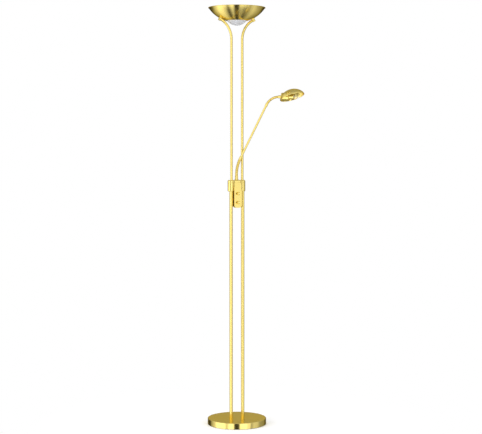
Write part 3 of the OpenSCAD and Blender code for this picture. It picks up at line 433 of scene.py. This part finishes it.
# %% [markdown]
# Frosted glass scatters what passes through it, so the dish is a pale grey body with a trace of blue.
# The bulbs are clear quartz, which is seen only at its edges and by its reflections.

# %% Glass
def glass(name, low, high, grain, roughness, transmission, depth):
    """Glass with a faint unevenness of its tint and skin."""
    material, tree, out = new_material(name)
    shader = add_node(tree, "ShaderNodeBsdfPrincipled", {
        **uneven(tree, low, high, grain, depth, detail=3.0, fineness=0.5, strength=0.4),
        "Roughness": roughness, "Transmission Weight": transmission, "IOR": 1.46})
    tree.links.new(shader.outputs[0], out.inputs[0])
    return material


frosted_glass = glass("frosted_glass", "#d6d7dc", "#e4e5e9", 0.6 * MM, 0.5, 0.35, 0.02 * MM)
clear_quartz = glass("clear_quartz", "#f4f6f7", "#ffffff", 8 * MM, 0.03, 1.0, 0.005 * MM)
print("materials", len(bpy.data.materials))

# %% [markdown]
# ## Dressing the frame
# Most of the frame's own pieces already have the right shape, so they only need their finish. Each lathe
# piece gets brass spun round its own axis: the stand's is upright through the middle, the head's is that
# of its joint, and the shade's is tilted and rolled on the head.

# %% Axes of the lathe pieces
joints = {joint["name"]: joint for joint in frame["joints"]}


def middle(name):
    """The middle of a CAD node's box."""
    low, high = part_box(name)
    return (low + high) / 2


def pivot(name):
    """Where a joint's axis passes."""
    return Vector(joints[name]["pos_m"])


NECK_JOINTS = 6
SHADE_TILT = math.radians(17.8)
SHADE_OUT = 64 * MM
SHADE_DROP = 1.4 * MM
HEAD_ROLL = math.radians(-9)
head_place = pivot("head_turn")
head_axis = Vector(joints["head_turn"]["axis"])
roll = Matrix.Rotation(HEAD_ROLL, 3, head_axis)
shade_axis = roll @ (math.cos(SHADE_TILT) * UP - math.sin(SHADE_TILT) * head_axis)
shade_place = head_place + SHADE_OUT * head_axis - SHADE_DROP * (roll @ UP)
rod_axis = (pivot("upper_bend_1") - pivot("lower_bend_6")).normalized()
print("rod leans", round(math.degrees(rod_axis.angle(UP)), 1), "degrees")


# %% Finishes of the frame's pieces
CRISP_ANGLE = math.radians(32)


def dress(material, *names):
    """Gives CAD nodes a material, joins their loose triangles and shades what is round smoothly."""
    for name in names:
        piece = nodes[name]
        piece.data.materials.clear()
        piece.data.materials.append(material)
        piece.data.polygons.foreach_set("use_smooth", [True] * len(piece.data.polygons))
        weld = piece.modifiers.new("joined", "WELD")
        weld.merge_threshold = WELD
        crisp = piece.modifiers.new("crisp_edges", "EDGE_SPLIT")
        crisp.split_angle = CRISP_ANGLE
        piece.modifiers.new("flat_stays_flat", "WEIGHTED_NORMAL")


stand_spun = spun_brass("satin_brass_spun", (0, 0, 0), UP)
head_spun = spun_brass("satin_brass_turned_on_the_head", head_place, head_axis, anisotropy=0.4)
shade_spun = spun_brass("satin_brass_spun_shade", shade_place, shade_axis)
belt_brushed = brushed_brass("satin_brass_tube")
cast_brushed = brushed_brass("satin_brass_cast", stretch=(14, 2, 1))
dress(stand_spun, "base_cover", "bowl")
dress(head_spun, "head_barrel", "barrel_cap", "head_ferrule", "shade_band")
dress(shade_spun, "head_shade", "shade_screw")
dress(belt_brushed, "lower_pole_left", "lower_pole_right", "upper_pole_left", "upper_pole_right",
      "arm_rod", "arm_foot", "rod_ferrule_lower", "rod_ferrule_upper", "bowl_studs")
dress(cast_brushed, "bracket_body", "bracket_cap", "dimmer_housing", "housing_back", "upper_knob",
      "lower_knob")
for part in ("lower", "upper"):
    dress(belt_brushed, *[f"{part}_link_{k}" for k in range(1, NECK_JOINTS)])
dress(zinc_steel, "pole_studs", "pole_nuts", "pole_washers", "pole_plugs", "cap_screws", "grub_screws",
      "housing_screws", "back_screws", "upper_spindle", "lower_spindle", "arm_washer", "arm_nut",
      "swivel_bolt", "stud_nipples", "nipple_nuts", "lamp_bracket")
dress(cast_iron, "base_weight")
dress(felt, "felt_pad")
dress(rubber, "cord_grommet")
dress(moulded_plastic, "potentiometers")
dress(circuit_board, "dimmer_board")
dress(ceramic, "bulb_socket", "lamp_holders", "tube_ends")
dress(frosted_glass, "glass_dish")
dress(clear_quartz, "capsule_bulb", "halogen_tube")
undressed = [name for name, piece in nodes.items() if not piece.modifiers]
print("undressed nodes", undressed)


# %% [markdown]
# ## Turned pieces
# Knobs, bulbs and their wires are bodies of revolution. One helper works as a lathe does: it takes a
# ring, and extrudes it through a profile, step by step, wider or narrower each time.

# %% A lathe for rings
HEAD_FRAME = Matrix.Translation(head_place) @ head_axis.to_track_quat("Z", "Y").to_matrix().to_4x4()
SMOOTH_ANGLE = math.radians(35)


def fill_ends():
    """Closes every open ring of the mesh in edit mode and points its faces outwards."""
    bpy.ops.mesh.select_all(action="SELECT")
    bpy.ops.mesh.fill_holes(sides=0)
    bpy.ops.mesh.select_all(action="SELECT")
    bpy.ops.mesh.normals_make_consistent(inside=False)


def turned(name, profile, sides=48):
    """A closed mesh turned round Z through steps of (radius, height)."""
    deselect()
    (reach, level), *steps = profile
    bpy.ops.mesh.primitive_circle_add(vertices=sides, radius=reach)
    piece = bpy.context.object
    piece.name = name
    bpy.ops.object.mode_set(mode="EDIT")
    bpy.ops.mesh.select_all(action="SELECT")
    bpy.ops.transform.translate(value=(0, 0, level))
    for radius, height in steps:
        bpy.ops.mesh.extrude_edges_move(TRANSFORM_OT_translate={"value": (0, 0, height - level)})
        bpy.ops.transform.resize(value=(radius / reach, radius / reach, 1), center_override=(0, 0, 0))
        reach, level = radius, height
    fill_ends()
    bpy.ops.object.mode_set(mode="OBJECT")
    return piece


def settle(piece, place, material, body, slot, *replaced):
    """Moves a piece's mesh to its place, dresses it, and makes it ride on a body."""
    piece.data.transform(place)
    piece.data.materials.append(material)
    deselect()
    piece.select_set(True)
    bpy.context.view_layer.objects.active = piece
    bpy.ops.object.shade_smooth_by_angle(angle=SMOOTH_ANGLE)
    piece.modifiers.new("flat_stays_flat", "WEIGHTED_NORMAL").keep_sharp = True
    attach(piece, body)
    if replaced:
        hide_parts(*replaced)
    print(piece.name, "has", len(piece.data.vertices), "points")


def reach_along(name, place, axis):
    """How far a CAD node reaches along an axis from a place, back and forth, and off the axis."""
    arms = [vertex.co - place for vertex in nodes[name].data.vertices]
    along = [arm.dot(axis) for arm in arms]
    return min(along), max(along), max((arm - far * axis).length for arm, far in zip(arms, along))


# %% [markdown]
# The two dimmer knobs have a straight knurl, so that a finger can turn them, a chamfer at each end, and
# a dished face. The knurl is every second point of the side, drawn in a little.

# %% Dimmer knobs
KNURL_TEETH = 36
KNURL_DEPTH = 0.07
CHAMFER = 0.6 * MM
DISH_DEPTH = 1.6 * MM
DISH_RIM, DISH_FLOOR, DISH_MIDDLE = 0.84, 0.58, 0.3


def knurled_knob(name, body):
    """A brass knob in place of a plain one, along the lamp's front. Shares are of its radius."""
    low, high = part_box(name)
    radius, length = (high.x - low.x) / 2, high.y - low.y
    knob = turned(name.replace("_knob", "_dimmer_knob"), [
        (radius - CHAMFER, 0), (radius, CHAMFER), (radius, length - CHAMFER), (radius - CHAMFER, length),
        (DISH_RIM * radius, length), (DISH_FLOOR * radius, length - DISH_DEPTH),
        (DISH_MIDDLE * radius, length - DISH_DEPTH)], sides=2 * KNURL_TEETH)
    for point in knob.data.vertices:
        tooth = round(math.atan2(point.co.y, point.co.x) / math.pi * KNURL_TEETH)
        point.select = tooth % 2 == 1 and point.co.xy.length > radius - CHAMFER / 2
    bpy.ops.object.mode_set(mode="EDIT")
    bpy.ops.mesh.select_mode(type="VERT")
    bpy.ops.transform.resize(value=(1 - KNURL_DEPTH, 1 - KNURL_DEPTH, 1), center_override=(0, 0, 0))
    bpy.ops.object.mode_set(mode="OBJECT")
    middle_x, middle_z = (low.x + high.x) / 2, (low.z + high.z) / 2
    place = Matrix.Translation((middle_x, high.y, middle_z)) @ Matrix.Rotation(math.pi / 2, 4, "X")
    settle(knob, place, knob_brass, body, "satin_brass", name)


knob_brass = brushed_brass("satin_brass_knurled", stretch=(1, 8, 1), grain=0.3 * MM)
knurled_knob("upper_knob", "upper_dial")
knurled_knob("lower_knob", "lower_dial")

# %% [markdown]
# A halogen bulb is a thin envelope of quartz round a coil of tungsten wire. A solid rod of glass would
# act as a lens and show the room upside down, so the envelope is really hollow: Solidify gives the turned
# skin a wall. The coil is a small ring that a Screw modifier winds up round the axis.

# %% Wound filaments and quartz
QUARTZ_WALL = 0.8 * MM
WIRE_R = 0.2 * MM


def wound_wire(name, radius, low, high, turns):
    """A coil of wire round Z between two heights."""
    deselect()
    bpy.ops.mesh.primitive_circle_add(vertices=6, radius=WIRE_R)
    wire = bpy.context.object
    wire.name = name
    bpy.ops.object.mode_set(mode="EDIT")
    bpy.ops.mesh.select_all(action="SELECT")
    bpy.ops.transform.rotate(value=math.pi / 2, orient_axis="X", center_override=(0, 0, 0))
    bpy.ops.transform.translate(value=(radius, 0, low))
    bpy.ops.object.mode_set(mode="OBJECT")
    coil = wire.modifiers.new("coil", "SCREW")
    coil.angle = 2 * math.pi * turns
    coil.screw_offset = high - low
    coil.steps = coil.render_steps = 10 * turns
    bpy.ops.object.modifier_apply(modifier="coil")
    bpy.ops.object.mode_set(mode="EDIT")
    fill_ends()
    bpy.ops.object.mode_set(mode="OBJECT")
    return wire


def join(first, *others):
    """Joins pieces into the first one."""
    deselect()
    for piece in (first, *others):
        piece.select_set(True)
    bpy.context.view_layer.objects.active = first
    bpy.ops.object.join()
    return first


def hollow(piece):
    """Gives a closed skin of quartz its wall, inwards."""
    bpy.context.view_layer.objects.active = piece
    wall = piece.modifiers.new("wall", "SOLIDIFY")
    wall.thickness = QUARTZ_WALL
    wall.offset = -1
    bpy.ops.object.modifier_apply(modifier="wall")


def straight_wire(radius, low, high, aside):
    """A straight lead of wire along Z, a little to one side."""
    lead = turned("lead", [(radius, low), (1.2 * radius, low + radius), (radius, high)], sides=10)
    lead.data.transform(Matrix.Translation((aside, 0, 0)))
    return lead


# %% The capsule bulb
COIL_R = 1.1 * MM
CAPSULE_TURNS = 9
CAPSULE_LEAD_R = 0.3 * MM
RETURN_LEAD_ASIDE = -2.2 * COIL_R
PINCH_FLATNESS = 0.55

# The root in shares of the bulb's radius and millimetres past the snout, and the dome in degrees
ENVELOPE_ROOT = ((0.5, -0.8), (0.8, 1.2), (0.97, 3), (1, 5))
DOME_STEP, DOME_STEPS = 14, 6

bulb_root, bulb_tip, bulb_r = reach_along("capsule_bulb", head_place, head_axis)
snout = reach_along("barrel_cap", head_place, head_axis)[1]
envelope = [(share * bulb_r, snout + past * MM) for share, past in ENVELOPE_ROOT]
envelope.append((bulb_r, bulb_tip - bulb_r))
for step in range(1, DOME_STEPS + 1):
    rise = math.radians(DOME_STEP * step)
    envelope.append((bulb_r * math.cos(rise), bulb_tip - bulb_r + bulb_r * math.sin(rise)))
capsule = turned("capsule_envelope", envelope)
hollow(capsule)
settle(capsule, HEAD_FRAME, clear_quartz, "head", "clear_glass", "capsule_bulb")
pinch = turned("capsule_pinch", [
    (0.42 * bulb_r, bulb_root), (0.5 * bulb_r, bulb_root + 1 * MM), (0.5 * bulb_r, snout - 1 * MM),
    (0.36 * bulb_r, snout + 2 * MM)], sides=24)
pinch.data.transform(Matrix.Diagonal((1, PINCH_FLATNESS, 1, 1)))
settle(pinch, HEAD_FRAME, clear_quartz, "head", "clear_glass")
coil_low, coil_high = snout + 8 * MM, bulb_tip - bulb_r
filament = wound_wire("capsule_filament", COIL_R, coil_low, coil_high, CAPSULE_TURNS)
leads = [straight_wire(CAPSULE_LEAD_R, snout + 1.5 * MM, end, aside)
         for end, aside in ((coil_low, COIL_R), (coil_high, RETURN_LEAD_ASIDE))]
settle(join(filament, *leads), HEAD_FRAME, tungsten, "head", "zinc_steel")

# %% [markdown]
# The bowl's tube is pinched flat at both ends, where the quartz is sealed on the leads. Its coil is long
# and thin, and loops of wire keep it in the middle of the tube.

# %% The halogen tube
SEAL, SHOULDER = 8 * MM, 4 * MM
SEAL_FLATNESS = 0.5
TUBE_TURNS = 44
TUBE_LEAD_R = 0.35 * MM
LOOP_SHARES = (-0.75, -0.25, 0.25, 0.75)

tube_low, tube_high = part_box("halogen_tube")
tube_r, tube_half = (tube_high.x - tube_low.x) / 2, (tube_high.y - tube_low.y) / 2
coil_half = tube_half - SEAL - SHOULDER
ALONG_TUBE = Matrix.Translation(middle("halogen_tube")) @ Matrix.Rotation(-math.pi / 2, 4, "X")
half = [(0.8 * tube_r, tube_half), (0.8 * tube_r, tube_half - SEAL),
        (0.93 * tube_r, tube_half - SEAL - SHOULDER / 2), (tube_r, coil_half)]
tube = turned("halogen_envelope", [(r, -z) for r, z in half] + half[::-1])
for point in tube.data.vertices:
    point.select = abs(point.co.z) > tube_half - SEAL - WIRE_R
bpy.ops.object.mode_set(mode="EDIT")
bpy.ops.transform.resize(value=(SEAL_FLATNESS, 1, 1), center_override=(0, 0, 0))
bpy.ops.object.mode_set(mode="OBJECT")
hollow(tube)
settle(tube, ALONG_TUBE, clear_quartz, "stand", "clear_glass", "halogen_tube")
filament = wound_wire("halogen_filament", COIL_R, -coil_half, coil_half, TUBE_TURNS)
loop_r = tube_r - QUARTZ_WALL - 2 * WIRE_R
loops = [wound_wire("loop", loop_r, share * coil_half, share * coil_half + 3 * WIRE_R, 2)
         for share in LOOP_SHARES]
leads = [straight_wire(TUBE_LEAD_R, *sorted((side * coil_half, side * (tube_half - 1 * MM))), 0)
         for side in (-1, 1)]
settle(join(filament, *loops, *leads), ALONG_TUBE, tungsten, "stand", "zinc_steel")


# %% [markdown]
# ## The fluted bracket
# The bracket is cast, and its front isn't flat: a shallow flute on each side of the middle parts the two
# lobes that grip the poles from the block over the dimmer. The flutes are too shallow to matter to the
# frame, but brass shows them at once. So copies of the bracket's two pieces are cut into narrow strips
# with bisect, and the points near each flute are pressed in along a smooth wave.

# %% Flutes in the bracket
FLUTE_X = 17.8 * MM
FLUTE_HALF = 5.5 * MM
FLUTE_DEPTH = 2.2 * MM
FLUTE_CUTS = 8
FRONT_SKIN = 4.8 * MM


def fluted(name):
    """A copy of a CAD piece with two upright flutes pressed into its front."""
    low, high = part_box(name)
    piece = bpy.data.objects.new(name + "_fluted", nodes[name].data.copy())
    bpy.context.scene.collection.objects.link(piece)
    deselect()
    piece.select_set(True)
    bpy.context.view_layer.objects.active = piece
    bpy.ops.object.mode_set(mode="EDIT")
    bpy.ops.mesh.select_all(action="SELECT")
    bpy.ops.mesh.remove_doubles(threshold=WELD)
    for side in (-1, 1):
        for cut in range(FLUTE_CUTS + 1):
            bpy.ops.mesh.select_all(action="SELECT")
            place = side * FLUTE_X + (2 * cut / FLUTE_CUTS - 1) * FLUTE_HALF
            bpy.ops.mesh.bisect(plane_co=(place, 0, 0), plane_no=(1, 0, 0))
    bpy.ops.object.mode_set(mode="OBJECT")
    for point in piece.data.vertices:
        off = (abs(point.co.x) - FLUTE_X) / FLUTE_HALF
        if abs(off) < 1 and point.co.y < low.y + FRONT_SKIN:
            point.co.y += FLUTE_DEPTH * math.cos(off * math.pi / 2) ** 2
    piece.data.materials.clear()
    settle(piece, Matrix.Identity(4), cast_brushed, "stand", "satin_brass", name)


fluted("bracket_body")
fluted("bracket_cap")


# %% [markdown]
# ## The flexible necks
# Both bends of the arm are a wound metal hose: a steel core that holds its shape, with a brass strip
# wound round it in close ribs. In the frame they are chains of short links. Here one rib is drawn by
# extruding a ring, an Array repeats it, Solidify gives it a wall, and a Curve modifier lays the straight
# hose along the bent line of the joints. It is then cut in the middle of each link, so that every joint
# has its own short length of hose.

# %% One straight length of ribbed hose
RIB_DEPTH = 0.55 * MM
STRIP = 0.5 * MM

# One rib in steps of (share of its length, share of its depth)
RIB_STEPS = ((0.12, 0.55), (0.12, 0.85), (0.16, 1.0), (0.2, 1.0), (0.16, 0.85), (0.12, 0.55), (0.12, 0.0))


def ribbed_hose(name, radius, rib, length):
    """A hose along +Z from the origin, with round ribs."""
    deselect()
    inner = reach = radius - RIB_DEPTH
    bpy.ops.mesh.primitive_circle_add(vertices=40, radius=inner)
    hose = bpy.context.object
    hose.name = name
    bpy.ops.object.mode_set(mode="EDIT")
    bpy.ops.mesh.select_all(action="SELECT")
    for share, out_share in RIB_STEPS:
        wanted = inner + RIB_DEPTH * out_share
        bpy.ops.mesh.extrude_edges_move(TRANSFORM_OT_translate={"value": (0, 0, share * rib)})
        bpy.ops.transform.resize(value=(wanted / reach, wanted / reach, 1), center_override=(0, 0, 0))
        reach = wanted
    bpy.ops.object.mode_set(mode="OBJECT")
    array = hose.modifiers.new("ribs", "ARRAY")
    array.use_relative_offset = False
    array.use_constant_offset = True
    array.constant_offset_displace = (0, 0, rib)
    array.count = round(length / rib)
    array.use_merge_vertices = True
    array.merge_threshold = 10 * WELD
    wall = hose.modifiers.new("wall", "SOLIDIFY")
    wall.thickness = STRIP
    wall.offset = -1
    for modifier in ("ribs", "wall"):
        bpy.ops.object.modifier_apply(modifier=modifier)
    return hose


# %% The bent line of a neck
BEND_STEPS = 6


def neck_line(pivots, directions, pitch, before, after):
    """Points along a neck: straight links, rounded over each pivot from mid-link to mid-link."""
    points = [pivots[0] - before * directions[0]]
    for place, come, go in zip(pivots, directions, directions[1:]):
        turn = come.angle(go)
        inwards = (go - come * math.cos(turn)).normalized()
        radius = pitch / 2 / math.tan(turn / 2)
        start = place - come * pitch / 2
        for step in range(BEND_STEPS):
            a = turn * step / BEND_STEPS
            points.append(start + radius * (math.sin(a) * come + (1 - math.cos(a)) * inwards))
    points.append(pivots[-1] + directions[-1] * pitch / 2)
    points.append(pivots[-1] + directions[-1] * after)
    return points


def lay_along(piece, points):
    """Bends a straight piece along a line of points with a Curve modifier."""
    line = bpy.data.curves.new("neck_line", "CURVE")
    line.dimensions = "3D"
    line.twist_mode = "MINIMUM"
    spline = line.splines.new("POLY")
    spline.points.add(len(points) - 1)
    for knot, place in zip(spline.points, points):
        knot.co = (*place, 1)
    guide = bpy.data.objects.new("neck_guide", line)
    bpy.context.scene.collection.objects.link(guide)
    bend = piece.modifiers.new("bend", "CURVE")
    bend.object = guide
    bend.deform_axis = "POS_Z"
    bpy.context.view_layer.objects.active = piece
    bpy.ops.object.modifier_apply(modifier="bend")
    bpy.data.objects.remove(guide)


# %% Cut the neck at its links
RIB_SMOOTH_ANGLE = math.radians(50)


def cut_between(whole, name, low, high):
    """Copies the stretch of a mesh between two planes, each a place and a direction, and closes its ends.
    Without a plane, that end stays as it is."""
    deselect()
    whole.select_set(True)
    bpy.context.view_layer.objects.active = whole
    bpy.ops.object.duplicate()
    part = bpy.context.object
    part.name = name
    bpy.ops.object.mode_set(mode="EDIT")
    for plane, outer in ((low, False), (high, True)):
        if plane:
            bpy.ops.mesh.select_all(action="SELECT")
            bpy.ops.mesh.bisect(plane_co=plane[0], plane_no=plane[1], use_fill=True,
                                clear_inner=not outer, clear_outer=outer)
    bpy.ops.mesh.select_all(action="SELECT")
    bpy.ops.mesh.normals_make_consistent(inside=False)
    bpy.ops.object.mode_set(mode="OBJECT")
    deselect()
    part.select_set(True)
    bpy.context.view_layer.objects.active = part
    bpy.ops.object.shade_smooth_by_angle(angle=RIB_SMOOTH_ANGLE)
    return part


def flexible_neck(part, first_direction, last_direction, radius, rib, before, after):
    """The hose over the joints of one neck, as one length of hose a joint."""
    pivots = [pivot(f"{part}_bend_{k}") for k in range(1, NECK_JOINTS + 1)]
    pitch = (pivots[1] - pivots[0]).length
    directions = [(b - a).normalized() for a, b in zip(pivots, pivots[1:])]
    directions = [first_direction, *directions, last_direction]
    points = neck_line(pivots, directions, pitch, before, after)
    length = sum((b - a).length for a, b in zip(points, points[1:]))
    hose = ribbed_hose(part + "_hose", radius, rib, length)
    hose.data.transform(Matrix.Scale(length / (round(length / rib) * rib), 4, UP))
    lay_along(hose, points)
    for k, place in enumerate(pivots):
        low = (place - directions[k] * pitch / 2, directions[k])
        high = (place + directions[k + 1] * pitch / 2, directions[k + 1])
        last = k == NECK_JOINTS - 1
        stretch = cut_between(hose, f"{part}_neck_skin_{k + 1}", low if k else None, None if last else high)
        stretch.data.materials.append(neck_brass)
        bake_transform(stretch)
        if not last:
            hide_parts(f"{part}_link_{k + 1}")
    bpy.data.objects.remove(hose)
    print(part, "neck", round(length / MM, 1), "mm long,", round(length / rib), "ribs")


neck_brass = brushed_brass("satin_brass_wound_strip", stretch=(1, 1, 1), grain=0.4 * MM, roughness=0.3)
flexible_neck("lower", UP, rod_axis,
              radius=6.1 * MM, rib=2.2 * MM, before=8.6 * MM, after=2.2 * MM)
flexible_neck("upper", rod_axis, head_axis,
              radius=5.1 * MM, rib=2.0 * MM, before=2.0 * MM, after=2.2 * MM)
